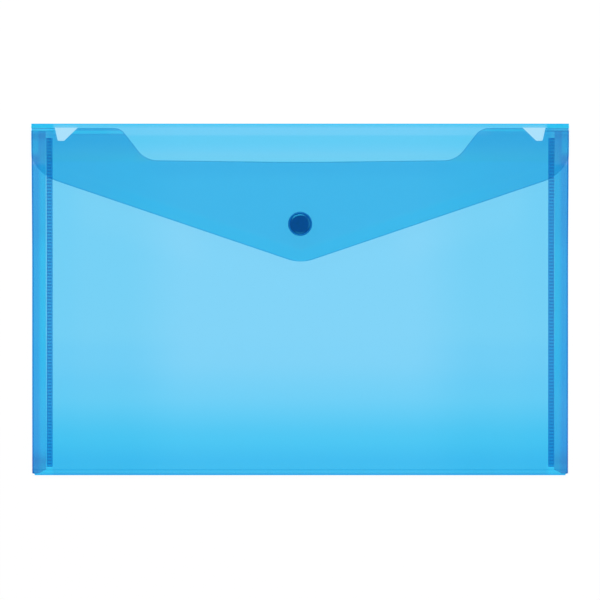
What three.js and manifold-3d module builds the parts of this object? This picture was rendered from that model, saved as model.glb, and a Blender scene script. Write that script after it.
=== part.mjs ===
// A snap-button carry folder of see-through blue plastic film, closed and lying on its back.
// Millimetres. +X is the photo's right, +Y runs up the folder to its top fold, +Z comes out of its front.
// The origin is the middle of the underside.
import * as THREE from "three";
import { mergeVertices } from "three/addons/utils/BufferGeometryUtils.js";
import Module from "manifold-3d";

const wasm = await Module();
wasm.setup();

// The folder as a whole.
const FOLDER_WIDTH = 330;
const FOLDER_HEIGHT = 216;
const FILM = 0.2; // thickness of the plastic film
const PLY_GAP = 0.3; // air between two plies that lie on each other
const SEAM_GAP = 0.3; // between two stretches of film that a crease or weld joins
const CORNER_RADIUS = 3; // the two bottom corners

// The front sheet's top edge: two tabs beside a thumb recess.
const FRONT_DROP = 2.8; // top of the folder down to the tabs
const RECESS_DROP = 23.1; // top of the folder down to the recess's floor
const TAB_INSET = 54.1; // side of the folder to the inner end of a tab, at its top
const RECESS_INSET = 68.5; // side of the folder to the recess's floor corner
const TAB_RADIUS = 7.4;
const RECESS_RADIUS = 13.5;

// The relief notch beside each tab, cut through the front and the back sheet.
const NOTCH_INSET = 14; // side of the folder to the notch
const NOTCH_WIDTH = 14.5; // at its top
const NOTCH_DEPTH = 8;
const NOTCH_LEAN = 1.7; // how far its outer side leans inwards
const NOTCH_FLOOR = 4.6; // width of its bottom
const NOTCH_RADIUS = 1;

// The sides, tucked inwards as a V and welded.
const GUSSET_DEPTH = 12.8; // side of the folder to the weld's inner edge
const WELD_WIDTH = 4;
const WELD_DROP = 8.3; // top of the folder down to the weld
const WELD_PITCH = 1.85; // of the ladder's bars
const WELD_GROOVE = 0.85; // width of the groove between two bars
const WELD_GROOVE_DEPTH = 0.2;
const GUSSET_DROP = 4.6; // top of the folder down to the strips
const GUSSET_RISE = 5.8; // bottom of the folder up to the strips, at the weld's inner edge
const GUSSET_SLANT = 27; // degrees, of the strips' lower ends

// The top fold and the flap.
const FOLD_BAND = 2.3; // the slanted band between the top fold's two creases, seen from the front
const CREASE_ROOM = 0.4; // between the lower crease and the band, so that the band clears the back sheet
const FLAP_AIR = 0.6; // between the front sheet and the flap's crease
const FLAP_DROP = 85; // top of the folder down to the flap's tip
const FLAP_SLOPE = 18.6; // degrees, of the V's two edges
const FLAP_TIP_RADIUS = 23;
const FLAP_CORNER_RADIUS = 23;
const FLAP_CORNER_LEAN = 19; // degrees between the flap's side and its corner curve, where they meet

// The press stud.
const SNAP_DROP = 61.9; // top of the folder down to its centre
const SNAP_SEAT = 0.15; // between a snap piece and the film it clamps
const CAP_RADIUS = 7.4;
const CAP_DISC_RADIUS = 5.7; // the raised disc inside the groove
const CAP_GROOVE_WIDTH = 0.5;
const CAP_GROOVE_DEPTH = 0.5;
const CAP_HEIGHT = 1.5;
const PIN_RADIUS = 1.4;
const PIN_CLEARANCE = 0.25; // around a pin, in the film and in the piece it goes into
const SOCKET_RADIUS = 5.75;
const SOCKET_HEIGHT = 2;
const SOCKET_ROOF = 0.55;
const HEAD_RADIUS = 2.8;
const HEAD_CLEARANCE = 0.4; // around the stud's head, in the socket
const NECK_RADIUS = 2.4;
const HEAD_HEIGHT = 0.8;
const NECK_HEIGHT = 0.65;
const FLANGE_RADIUS = 5.5;
const FLANGE_HEIGHT = 0.8;
const SNAP_AIR = 0.5; // between the stud's flange and the socket
const PLATE_RADIUS = 6;
const PLATE_HEIGHT = 0.8;

const EDGE = 0.25; // chamfer on the stud's pieces

const ARC_STEPS = 6;
const ROUND_STEPS = 32;

// Heights of the plies, from the surface that the folder lies on.
const SIDE = FOLDER_WIDTH / 2;
const TOP = FOLDER_HEIGHT / 2;
const BOTTOM = -FOLDER_HEIGHT / 2;
const PLY = FILM + PLY_GAP;
const REAR_STRIP_Z = PLY;
const FRONT_STRIP_Z = 2 * PLY;
const FRONT_Z = 3 * PLY;
const FRONT_TOP_Z = FRONT_Z + FILM;

// Rolls of film at the side folds and at the bottom fold, and where the flat sheets end beside them.
const SIDE_ROLL = (PLY + FILM) / 2;
const BOTTOM_ROLL = FRONT_TOP_Z / 2;
const SHEET_SIDE = SIDE - SIDE_ROLL - SEAM_GAP;
const SHEET_BOTTOM = BOTTOM + BOTTOM_ROLL + SEAM_GAP;

// The top fold's creases. The flap rises a little from its crease, so that the film clears the press stud.
const UPPER_CREASE_Z = FRONT_TOP_Z + FLAP_AIR + FILM / 2;
const BAND_RISE = UPPER_CREASE_Z - FILM / 2;
const BAND_SLANT = Math.atan2(BAND_RISE, FOLD_BAND);
const BAND_LENGTH = Math.hypot(BAND_RISE, FOLD_BAND);
const SNAP_STACK = FLANGE_HEIGHT + SNAP_AIR + SOCKET_HEIGHT + 2 * SNAP_SEAT;
const FLAP_TILT = Math.atan2(
  FRONT_TOP_Z + SNAP_STACK + FILM / 2 - UPPER_CREASE_Z,
  SNAP_DROP - FOLD_BAND,
);
const SNAP_ON_FLAP = -(SNAP_DROP - FOLD_BAND) / Math.cos(FLAP_TILT);

const filmLook = { color: 0x46b9f0, roughness: 0.25, metalness: 0, transparent: true, opacity: 0.6 };
const snapLook = { color: 0x0b4a90, roughness: 0.35, metalness: 0 };

function piece(name, geometry, look) {
  const mesh = new THREE.Mesh(geometry, new THREE.MeshStandardMaterial(look));
  mesh.name = name;
  return mesh;
}

function solidOf(geometry) {
  const bare = geometry.clone();
  bare.deleteAttribute("normal");
  bare.deleteAttribute("uv");
  const merged = mergeVertices(bare, 1e-4);
  return new wasm.Manifold(
    new wasm.Mesh({
      numProp: 3,
      vertProperties: new Float32Array(merged.attributes.position.array),
      triVerts: new Uint32Array(merged.index.array),
    }),
  );
}

function geometryOf(solid) {
  const mesh = solid.getMesh();
  const geometry = new THREE.BufferGeometry();
  geometry.setAttribute("position", new THREE.BufferAttribute(mesh.vertProperties, 3));
  geometry.setIndex(new THREE.BufferAttribute(mesh.triVerts, 1));
  geometry.computeVertexNormals();
  return geometry;
}

// Draws a closed outline through corners [x, y, radius], each rounded by an arc where its radius isn't 0.
// An outline that starts at a sharp corner ends at one too, and its path starts there, so that no arc comes first.
function drawOutline(path, corners) {
  corners.forEach(([x, y, radius], index) => {
    const here = new THREE.Vector2(x, y);
    const before = corners[(index + corners.length - 1) % corners.length];
    const after = corners[(index + 1) % corners.length];
    const back = new THREE.Vector2(before[0] - x, before[1] - y).normalize();
    const on = new THREE.Vector2(after[0] - x, after[1] - y).normalize();
    if (!radius) {
      if (index === 0) path.moveTo(before[0], before[1]);
      path.lineTo(x, y);
      return;
    }
    const half = Math.acos(back.dot(on)) / 2;
    const start = here.clone().addScaledVector(back, radius / Math.tan(half));
    const end = here.clone().addScaledVector(on, radius / Math.tan(half));
    const middle = back.clone().add(on).normalize();
    const centre = here.clone().addScaledVector(middle, radius / Math.sin(half));
    const clockwise = back.cross(on) > 0;
    path.absarc(
      centre.x,
      centre.y,
      radius,
      start.sub(centre).angle(),
      end.sub(centre).angle(),
      clockwise,
    );
  });
  path.closePath();
  return path;
}

// A flat stretch of film with its underside at height z.
function sheet(shape, z, thickness = FILM) {
  const geometry = new THREE.ExtrudeGeometry(shape, {
    depth: thickness,
    bevelEnabled: false,
    curveSegments: ARC_STEPS,
  });
  return geometry.translate(0, 0, z);
}

// A profile drawn in [y, z], swept along X from one x to the other.
function alongX(shape, fromX, toX) {
  const geometry = new THREE.ExtrudeGeometry(shape, {
    depth: toX - fromX,
    bevelEnabled: false,
    curveSegments: ARC_STEPS,
  });
  geometry.applyMatrix4(
    new THREE.Matrix4().makeBasis(
      new THREE.Vector3(0, 1, 0),
      new THREE.Vector3(0, 0, 1),
      new THREE.Vector3(1, 0, 0),
    ),
  );
  return geometry.translate(fromX, 0, 0);
}

// The corners of the left relief notch, from its outer top corner round to its inner one.
function notchCorners() {
  const outer = -SIDE + NOTCH_INSET;
  const top = TOP - FRONT_DROP;
  const floor = top - NOTCH_DEPTH;
  return [
    [outer, top, 0],
    [outer + NOTCH_LEAN, floor, NOTCH_RADIUS],
    [outer + NOTCH_LEAN + NOTCH_FLOOR, floor, NOTCH_RADIUS],
    [outer + NOTCH_WIDTH, top, 0],
  ];
}

const mirrored = (corners) => corners.map(([x, y, radius]) => [-x, y, radius]).reverse();

function pinHole(x, y) {
  return new THREE.Path().absarc(x, y, PIN_RADIUS + PIN_CLEARANCE, 0, 2 * Math.PI, true);
}

function backPanel() {
  const shape = drawOutline(new THREE.Shape(), [
    [-SHEET_SIDE, SHEET_BOTTOM, CORNER_RADIUS],
    [SHEET_SIDE, SHEET_BOTTOM, CORNER_RADIUS],
    [SHEET_SIDE, TOP, 0],
    [-SHEET_SIDE, TOP, 0],
  ]);
  const punches = [notchCorners(), mirrored(notchCorners())].map((corners) =>
    solidOf(sheet(drawOutline(new THREE.Shape(), corners), -FILM, 3 * FILM)),
  );
  return geometryOf(punches.reduce((film, punch) => film.subtract(punch), solidOf(sheet(shape, 0))));
}

function frontPanel() {
  const top = TOP - FRONT_DROP;
  const leftTop = [
    [-SHEET_SIDE, top, 0],
    ...notchCorners(),
    [-SIDE + TAB_INSET, top, TAB_RADIUS],
    [-SIDE + RECESS_INSET, TOP - RECESS_DROP, RECESS_RADIUS],
  ];
  const shape = drawOutline(new THREE.Shape(), [
    [-SHEET_SIDE, SHEET_BOTTOM, CORNER_RADIUS],
    [SHEET_SIDE, SHEET_BOTTOM, CORNER_RADIUS],
    ...[...leftTop, ...mirrored(leftTop)].reverse(),
  ]);
  shape.holes.push(pinHole(0, TOP - SNAP_DROP));
  return sheet(shape, FRONT_Z);
}

// The film rolls round here from the back sheet to the front sheet.
function bottomFold() {
  const reach = SIDE - CORNER_RADIUS;
  const quarter = Math.PI / 2;
  const roll = new THREE.Shape();
  roll.absarc(BOTTOM + BOTTOM_ROLL, BOTTOM_ROLL, BOTTOM_ROLL, quarter, 3 * quarter, false);
  roll.absarc(BOTTOM + BOTTOM_ROLL, BOTTOM_ROLL, BOTTOM_ROLL - FILM, 3 * quarter, quarter, true);
  return alongX(roll, -reach, reach);
}

// One strip of the left side's gusset: a roll round the side fold, and the strip that it tucks in beside the weld.
// rollZ is the height of the roll's middle. tuck is 1 where the strip lies above the roll's middle and -1 below it.
function gussetStrip(rollZ, tuck) {
  const rollX = -SIDE + SIDE_ROLL;
  const inner = SIDE_ROLL - FILM;
  const quarter = (tuck * Math.PI) / 2;
  const weldX = -SIDE + GUSSET_DEPTH - WELD_WIDTH - SEAM_GAP;
  const low = SHEET_BOTTOM;
  const high = TOP - GUSSET_DROP;
  const profile = new THREE.Shape();
  profile.absarc(rollX, rollZ, SIDE_ROLL, -quarter, quarter, tuck > 0);
  profile.lineTo(weldX, rollZ + tuck * SIDE_ROLL);
  profile.lineTo(weldX, rollZ + tuck * inner);
  profile.absarc(rollX, rollZ, inner, quarter, -quarter, tuck < 0);
  const swept = new THREE.ExtrudeGeometry(profile, {
    depth: high - low,
    bevelEnabled: false,
    curveSegments: ARC_STEPS,
  });
  swept.rotateX(Math.PI / 2);
  swept.translate(0, high, 0);

  // Seen from the front, the strip's lower end is cut on a slant and its outer corner is round.
  const slant = Math.tan(THREE.MathUtils.degToRad(GUSSET_SLANT));
  const slantAt = (x) => BOTTOM + GUSSET_RISE - slant * (-SIDE + GUSSET_DEPTH - x);
  const kneeInset = Math.max(GUSSET_DEPTH - (BOTTOM + GUSSET_RISE - low) / slant, SIDE_ROLL);
  const past = FILM; // the cutting shape runs this far past the edges that it leaves alone
  const plan = drawOutline(new THREE.Shape(), [
    [-SIDE - past, low + CORNER_RADIUS, 0],
    [-SIDE, low + CORNER_RADIUS, 0],
    [-SIDE + kneeInset, low, 0],
    [weldX + past, slantAt(weldX + past), 0],
    [weldX + past, high + past, 0],
    [-SIDE - past, high + past, 0],
  ]);
  const cutter = sheet(plan, -past, FRONT_TOP_Z + 2 * past);
  return geometryOf(solidOf(swept).intersect(solidOf(cutter)));
}

// The fused edge of the left side: a band with a ladder of bars pressed into its front.
function sideWeld() {
  const low = BOTTOM + GUSSET_RISE;
  const high = TOP - WELD_DROP;
  const under = REAR_STRIP_Z;
  const over = FRONT_STRIP_Z + FILM;
  const bars = Math.floor((high - low - WELD_PITCH) / WELD_PITCH);
  const shape = new THREE.Shape().moveTo(low, under).lineTo(high, under).lineTo(high, over);
  for (let bar = 1; bar <= bars; bar += 1) {
    const y = high - bar * WELD_PITCH;
    shape.lineTo(y + WELD_GROOVE, over);
    shape.lineTo(y + WELD_GROOVE, over - WELD_GROOVE_DEPTH);
    shape.lineTo(y, over - WELD_GROOVE_DEPTH);
    shape.lineTo(y, over);
  }
  shape.lineTo(low, over);
  return alongX(shape, -SIDE + GUSSET_DEPTH - WELD_WIDTH, -SIDE + GUSSET_DEPTH);
}

// The slanted band between the top fold's two creases, in a frame whose origin is the lower crease,
// as it lies once the folder is opened flat: it runs up from the crease along +Y.
function topFold() {
  const shape = new THREE.Shape()
    .moveTo(CREASE_ROOM, -FILM / 2)
    .lineTo(BAND_LENGTH - SEAM_GAP / 2, -FILM / 2)
    .lineTo(BAND_LENGTH - SEAM_GAP / 2, FILM / 2)
    .lineTo(CREASE_ROOM, FILM / 2);
  return alongX(shape, -SIDE, SIDE);
}

// The flap, in a frame whose origin is the upper crease, hanging down from it along -Y.
function flapPanel() {
  const slope = THREE.MathUtils.degToRad(FLAP_SLOPE);
  const lean = THREE.MathUtils.degToRad(FLAP_CORNER_LEAN);
  const tipY = -(FLAP_DROP - FOLD_BAND) / Math.cos(FLAP_TILT);
  const tipCentre = tipY + FLAP_TIP_RADIUS;
  const edgeAtTipRound = tipCentre - FLAP_TIP_RADIUS / Math.cos(slope);
  const cornerX = -SIDE + FLAP_CORNER_RADIUS * Math.cos(lean);
  const cornerY =
    edgeAtTipRound - cornerX * Math.tan(slope) + FLAP_CORNER_RADIUS / Math.cos(slope);
  const down = (3 * Math.PI) / 2;
  const shape = new THREE.Shape().moveTo(SIDE, -SEAM_GAP / 2).lineTo(-SIDE, -SEAM_GAP / 2);
  shape.absarc(cornerX, cornerY, FLAP_CORNER_RADIUS, Math.PI + lean, down - slope, false);
  shape.absarc(0, tipCentre, FLAP_TIP_RADIUS, down - slope, down + slope, false);
  shape.absarc(-cornerX, cornerY, FLAP_CORNER_RADIUS, down + slope, 2 * Math.PI - lean, false);
  shape.holes.push(pinHole(0, SNAP_ON_FLAP));
  return sheet(shape, -FILM / 2);
}

// A round piece from its half profile of [radius, height] points.
function turned(points) {
  const profile = points.map(([radius, height]) => new THREE.Vector2(radius, height));
  return new THREE.LatheGeometry(profile, ROUND_STEPS).rotateX(Math.PI / 2);
}

// The visible button. Its underside is at height 0 and its pin goes down through the film and the socket's roof.
function snapCap() {
  const grooveOuter = CAP_DISC_RADIUS + CAP_GROOVE_WIDTH;
  const grooveFloor = CAP_HEIGHT - CAP_GROOVE_DEPTH;
  const pinEnd = -(FILM + 2 * SNAP_SEAT + SOCKET_ROOF);
  return turned([
    [0, pinEnd],
    [PIN_RADIUS, pinEnd],
    [PIN_RADIUS, 0],
    [CAP_RADIUS - EDGE, 0],
    [CAP_RADIUS, EDGE],
    [CAP_RADIUS, CAP_HEIGHT - 2 * EDGE],
    [CAP_RADIUS - EDGE, CAP_HEIGHT - EDGE],
    [grooveOuter, CAP_HEIGHT - EDGE],
    [grooveOuter, grooveFloor],
    [CAP_DISC_RADIUS, grooveFloor],
    [CAP_DISC_RADIUS, CAP_HEIGHT - EDGE],
    [CAP_DISC_RADIUS - EDGE, CAP_HEIGHT],
    [0, CAP_HEIGHT],
  ]);
}

// The ring under the flap that the stud's head snaps into. Its top is at height 0.
function snapSocket() {
  const mouth = HEAD_RADIUS + HEAD_CLEARANCE;
  const hole = PIN_RADIUS + PIN_CLEARANCE;
  return turned([
    [hole, 0],
    [hole, -SOCKET_ROOF],
    [mouth, -SOCKET_ROOF],
    [mouth, -SOCKET_HEIGHT + EDGE],
    [mouth + EDGE, -SOCKET_HEIGHT],
    [SOCKET_RADIUS - EDGE, -SOCKET_HEIGHT],
    [SOCKET_RADIUS, -SOCKET_HEIGHT + EDGE],
    [SOCKET_RADIUS, -EDGE],
    [SOCKET_RADIUS - EDGE, 0],
    [hole, 0],
  ]);
}

// The stud on the front sheet: a flange, a neck and a head. Its underside is at height 0.
function snapStud() {
  const hole = PIN_RADIUS + PIN_CLEARANCE;
  const headLow = FLANGE_HEIGHT + NECK_HEIGHT;
  return turned([
    [hole, 0],
    [FLANGE_RADIUS, 0],
    [FLANGE_RADIUS, FLANGE_HEIGHT - EDGE],
    [FLANGE_RADIUS - EDGE, FLANGE_HEIGHT],
    [NECK_RADIUS, FLANGE_HEIGHT],
    [NECK_RADIUS, headLow],
    [HEAD_RADIUS, headLow + EDGE],
    [HEAD_RADIUS, headLow + HEAD_HEIGHT - EDGE],
    [HEAD_RADIUS - EDGE, headLow + HEAD_HEIGHT],
    [hole, headLow + HEAD_HEIGHT],
    [hole, 0],
  ]);
}

// The plate inside the pocket. Its top is at height 0 and its pin goes up through the film and the stud.
function snapBackPlate() {
  const pinEnd = FILM + 2 * SNAP_SEAT + FLANGE_HEIGHT + NECK_HEIGHT + HEAD_HEIGHT - EDGE;
  return turned([
    [0, -PLATE_HEIGHT],
    [PLATE_RADIUS - EDGE, -PLATE_HEIGHT],
    [PLATE_RADIUS, -PLATE_HEIGHT + EDGE],
    [PLATE_RADIUS, -EDGE],
    [PLATE_RADIUS - EDGE, 0],
    [PIN_RADIUS, 0],
    [PIN_RADIUS, pinEnd],
    [0, pinEnd],
  ]);
}

const folder = new THREE.Group();
folder.add(piece("back_panel", backPanel(), filmLook));
folder.add(piece("front_panel", frontPanel(), filmLook));
folder.add(piece("bottom_fold", bottomFold(), filmLook));

// The left side as drawn, and the right side as its mirror image.
const rearStrip = gussetStrip(SIDE_ROLL, 1);
const frontStrip = gussetStrip(FRONT_TOP_Z - SIDE_ROLL, -1);
const weld = sideWeld();
[
  ["left", 1],
  ["right", -1],
].forEach(([name, turn]) => {
  const side = new THREE.Group();
  side.scale.set(turn, 1, 1);
  side.add(piece(name + "_rear_gusset", rearStrip, filmLook));
  side.add(piece(name + "_front_gusset", frontStrip, filmLook));
  side.add(piece(name + "_side_weld", weld, filmLook));
  folder.add(side);
});

const fold = piece("top_fold", topFold(), filmLook);
fold.position.set(0, TOP, FILM / 2);
fold.rotation.x = Math.PI - BAND_SLANT;
folder.add(fold);

const flap = new THREE.Group();
flap.position.set(0, TOP - FOLD_BAND, UPPER_CREASE_Z);
flap.rotation.x = -FLAP_TILT;
flap.add(piece("flap", flapPanel(), filmLook));
const cap = piece("snap_cap", snapCap(), snapLook);
cap.position.set(0, SNAP_ON_FLAP, FILM / 2 + SNAP_SEAT);
flap.add(cap);
const socket = piece("snap_socket", snapSocket(), snapLook);
socket.position.set(0, SNAP_ON_FLAP, -FILM / 2 - SNAP_SEAT);
flap.add(socket);
folder.add(flap);

const stud = piece("snap_stud", snapStud(), snapLook);
stud.position.set(0, TOP - SNAP_DROP, FRONT_TOP_Z + SNAP_SEAT);
folder.add(stud);
const plate = piece("snap_back_plate", snapBackPlate(), snapLook);
plate.position.set(0, TOP - SNAP_DROP, FRONT_Z - SNAP_SEAT);
folder.add(plate);

export default folder;
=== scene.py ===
import math

import bmesh
import bpy
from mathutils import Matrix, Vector


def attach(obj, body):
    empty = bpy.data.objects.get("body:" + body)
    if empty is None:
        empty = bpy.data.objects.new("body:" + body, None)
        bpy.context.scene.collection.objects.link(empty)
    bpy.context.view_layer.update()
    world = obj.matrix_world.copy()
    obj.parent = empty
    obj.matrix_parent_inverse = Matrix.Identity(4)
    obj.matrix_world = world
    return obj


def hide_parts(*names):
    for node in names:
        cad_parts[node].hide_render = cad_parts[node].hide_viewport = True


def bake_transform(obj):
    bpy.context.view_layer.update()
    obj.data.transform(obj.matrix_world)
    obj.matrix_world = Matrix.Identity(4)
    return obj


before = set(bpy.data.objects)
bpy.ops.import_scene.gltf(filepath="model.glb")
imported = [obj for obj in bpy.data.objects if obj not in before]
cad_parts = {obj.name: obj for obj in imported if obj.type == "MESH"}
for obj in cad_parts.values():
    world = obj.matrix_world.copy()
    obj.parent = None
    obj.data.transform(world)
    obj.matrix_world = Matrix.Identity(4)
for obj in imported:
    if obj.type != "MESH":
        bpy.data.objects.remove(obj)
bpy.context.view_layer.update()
bpy.ops.object.select_all(action="DESELECT")
scene = bpy.context.scene
scene.view_settings.view_transform = "Standard"


# The camera looks straight down on the folder, which lies on its back. The long lens keeps its sides square.
# The picture takes in 369.4 mm across the folder.
CAMERA_HEIGHT = 2.0
PICTURE_WIDTH = 0.36942
PICTURE_MIDDLE = (-0.00008, -0.00062)

camera_data = bpy.data.cameras.new("camera")
camera_data.sensor_width = 36
camera_data.lens = 36 * CAMERA_HEIGHT / PICTURE_WIDTH
camera = bpy.data.objects.new("camera", camera_data)
camera.location = (*PICTURE_MIDDLE, CAMERA_HEIGHT + 0.0012)
scene.collection.objects.link(camera)
scene.camera = camera


# Soft studio light: a white room that lights things half as strongly as it looks, and three large lamps well
# to the sides, so that flat film mirrors none of them. Several sheets of film lie over each other, each with
# two faces, so light may pass through many faces.
ROOM_LIGHT = 0.5
LAMPS = [
    ("key_lamp", (-0.22, 1.15, 0.91), 1.7, 0.3, 11),
    ("side_lamp", (1.2, 0.35, 0.95), 1.3, 1.3, 5.5),
    ("front_lamp", (-0.1, -1.25, 1.05), 1.3, 1.3, 5.5),
]

for lamp_name, place, width, depth, power in LAMPS:
    lamp_data = bpy.data.lights.new(lamp_name, "AREA")
    lamp_data.shape = "RECTANGLE"
    lamp_data.size = width
    lamp_data.size_y = depth
    lamp_data.energy = power
    lamp = bpy.data.objects.new(lamp_name, lamp_data)
    lamp.location = place
    lamp.rotation_mode = "QUATERNION"
    lamp.rotation_quaternion = (-Vector(place)).to_track_quat("-Z", "Y")
    lamp.visible_camera = False
    scene.collection.objects.link(lamp)

scene.cycles.transparent_max_bounces = 48

world = bpy.data.worlds.new("room")
scene.world = world
world.use_nodes = True
room = world.node_tree
room.nodes.clear()
room_path = room.nodes.new("ShaderNodeLightPath")
room_seen = room.nodes.new("ShaderNodeMix")
room_seen.data_type = "FLOAT"
room_seen.inputs["A"].default_value = ROOM_LIGHT
room_seen.inputs["B"].default_value = 1
room_glow = room.nodes.new("ShaderNodeBackground")
room_out = room.nodes.new("ShaderNodeOutputWorld")
room_mirrored = room.nodes.new("ShaderNodeMath")
room_mirrored.operation = "MAXIMUM"
room.links.new(room_path.outputs["Is Camera Ray"], room_mirrored.inputs[0])
room.links.new(room_path.outputs["Is Glossy Ray"], room_mirrored.inputs[1])
room.links.new(room_mirrored.outputs[0], room_seen.inputs["Factor"])
room.links.new(room_seen.outputs["Result"], room_glow.inputs["Strength"])
room.links.new(room_glow.outputs[0], room_out.inputs["Surface"])


# The table: a white top just under the folder. It looks plain white, and keeps a little of the folder's
# shadow.
TABLE_TOP = -0.0004
SHADOW_SHARE = 0.12
TABLE_WHITE = 1.035

bpy.ops.mesh.primitive_plane_add(size=12, location=(0, 0, TABLE_TOP))
table = bpy.context.object
table.name = "table"
table_finish = bpy.data.materials.new("white_table")
table_finish.use_nodes = True
tree = table_finish.node_tree
tree.nodes.clear()
table_path = tree.nodes.new("ShaderNodeLightPath")
seen = tree.nodes.new("ShaderNodeMath")
seen.operation = "MAXIMUM"
seen_through = tree.nodes.new("ShaderNodeMath")
seen_through.operation = "MAXIMUM"
white_share = tree.nodes.new("ShaderNodeMath")
white_share.operation = "MULTIPLY"
white_share.inputs[1].default_value = 1 - SHADOW_SHARE
matt = tree.nodes.new("ShaderNodeBsdfDiffuse")
matt.inputs["Color"].default_value = (0.92, 0.92, 0.92, 1)
white = tree.nodes.new("ShaderNodeEmission")
white.inputs["Strength"].default_value = TABLE_WHITE
table_mix = tree.nodes.new("ShaderNodeMixShader")
below = tree.nodes.new("ShaderNodeNewGeometry")
nothing = tree.nodes.new("ShaderNodeBsdfTransparent")
one_sided = tree.nodes.new("ShaderNodeMixShader")
table_out = tree.nodes.new("ShaderNodeOutputMaterial")
tree.links.new(table_path.outputs["Is Camera Ray"], seen.inputs[0])
tree.links.new(table_path.outputs["Is Glossy Ray"], seen.inputs[1])
tree.links.new(seen.outputs[0], seen_through.inputs[0])
tree.links.new(table_path.outputs["Is Transmission Ray"], seen_through.inputs[1])
tree.links.new(seen_through.outputs[0], white_share.inputs[0])
tree.links.new(white_share.outputs[0], table_mix.inputs["Fac"])
tree.links.new(matt.outputs[0], table_mix.inputs[1])
tree.links.new(white.outputs[0], table_mix.inputs[2])
tree.links.new(below.outputs["Backfacing"], one_sided.inputs["Fac"])
tree.links.new(table_mix.outputs[0], one_sided.inputs[1])
tree.links.new(nothing.outputs[0], one_sided.inputs[2])
tree.links.new(one_sided.outputs[0], table_out.inputs["Surface"])
table.data.materials.append(table_finish)


# The back sheet: polypropylene film 0.2 mm thick, dyed blue. It lies flat on the table.
# Two small relief notches are punched through it below the top fold, one beside each tab of the front sheet.
# Pieces are drawn in millimetres and made metres when they are finished.
SIDE = 165
TOP = 108
BOTTOM = -108.5
FILM = 0.2
CORNER_ROUND = 1.6
SIDE_ROLL = 0.35
BOTTOM_ROLL = 0.85
TABS_AT = TOP - 2.8
BACK_BLUE = (0.63, 0.889, 0.977)
FILM_MIRRORS = 1.11
RIM = 3
FLAP_SLOPE = math.radians(18.75)
FLAP_EDGE_UP = 20.7
SET_RIGHT = 0.35  # how far the thumb recess, the V of the flap and the left weld lie off the middle
BOWS = [(0.35, 20, 90), (0.2, 84, 95)]  # how far a side moves out, and the heights between which it does
BOWED = 15
NOTCH = [
    (-151, TABS_AT, 0),
    (-149.3, TABS_AT - 7.8, 1),
    (-145.3, TABS_AT - 7.8, 1),
    (-137.2, TABS_AT, 0),
]
BACK_NOTCH = [(-151.1, TABS_AT + 0.4, 0), *NOTCH[1:3], (-136.8, TABS_AT + 0.4, 0)]


def mirrored(corners):
    return [(-x, y, rounding) for x, y, rounding in reversed(corners)]


def side_points(out, low, high):
    """Points up a side of the folder, so that it can be bowed."""
    return [(out, up, 0) for up in range(-96, TOP, 8) if low + 5 < up < high - 1]


def pick(kind, test):
    """Selects the corners, edges or faces of the piece being edited whose middle passes the test."""
    bpy.ops.mesh.select_mode(type=kind)
    bpy.ops.mesh.select_all(action="DESELECT")
    mesh = bpy.context.edit_object.data
    edited = bmesh.from_edit_mesh(mesh)
    parts = {"VERT": edited.verts, "EDGE": edited.edges, "FACE": edited.faces}[kind]
    for part in parts:
        corners = [part.co] if kind == "VERT" else [vert.co for vert in part.verts]
        part.select_set(bool(test(sum(corners, Vector()) / len(corners))))
    edited.select_flush_mode()
    bmesh.update_edit_mesh(mesh)


def draw_outline(name, corners, height=0):
    """A flat face cut to the corners, each (x, y, rounding), listed anticlockwise. It stays in edit mode."""
    bpy.ops.object.select_all(action="DESELECT")
    bpy.ops.mesh.primitive_circle_add(vertices=len(corners), radius=10, fill_type="NGON")
    drawn = bpy.context.object
    drawn.name = name
    points = [Vector((x, y, height)) for x, y, _ in corners]
    for vert, point in zip(drawn.data.vertices, points):
        vert.co = point
    bpy.ops.object.mode_set(mode="EDIT")
    for index, (_, _, rounding) in enumerate(corners):
        if rounding:
            here = points[index]
            back = points[index - 1] - here
            on = points[(index + 1) % len(points)] - here
            pick("VERT", lambda middle, here=here: (middle - here).length < 0.001)
            reach = rounding / math.tan(back.angle(on) / 2)
            bpy.ops.mesh.bevel(affect="VERTICES", offset=reach, segments=10)
    return drawn


def thicken(thickness=FILM):
    """Raises the face being edited into a solid."""
    bpy.ops.mesh.select_all(action="SELECT")
    bpy.ops.mesh.extrude_region_move(TRANSFORM_OT_translate={"value": (0, 0, thickness)})
    bpy.ops.mesh.select_all(action="SELECT")
    bpy.ops.mesh.normals_make_consistent(inside=False)


def punch(piece, cutter):
    """Cuts the cutter's shape out of the piece, and throws the cutter away."""
    bpy.ops.object.mode_set(mode="OBJECT")
    hole = piece.modifiers.new("hole", "BOOLEAN")
    hole.operation = "DIFFERENCE"
    hole.object = cutter
    hole.solver = "EXACT"
    bpy.ops.object.select_all(action="DESELECT")
    bpy.context.view_layer.objects.active = piece
    piece.select_set(True)
    bpy.ops.object.modifier_apply(modifier=hole.name)
    bpy.data.objects.remove(cutter)


def eased(value, start, end):
    """0 before the start, 1 after the end, and a smooth rise between them."""
    part = min(1, max(0, (value - start) / (end - start)))
    return part * part * (3 - 2 * part)


def to_metres(piece):
    """Ends the modelling of a piece that is drawn in millimetres.

    The folder's sides are not quite straight: the top fold holds them a little further apart, so what lies
    within 15 mm of a side moves out with it."""
    bpy.ops.object.select_all(action="DESELECT")
    bpy.context.view_layer.objects.active = piece
    piece.select_set(True)
    bpy.ops.object.transform_apply(location=True, rotation=True, scale=True)
    for vert in piece.data.vertices:
        spread = sum(most * eased(vert.co.y, low, high) for most, low, high in BOWS)
        near_side = min(1, max(0, (abs(vert.co.x) - SIDE + BOWED) / 12))
        vert.co.x += math.copysign(spread * near_side, vert.co.x)
    piece.scale = (0.001, 0.001, 0.001)
    bpy.ops.object.transform_apply(location=False, rotation=False, scale=True)


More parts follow.
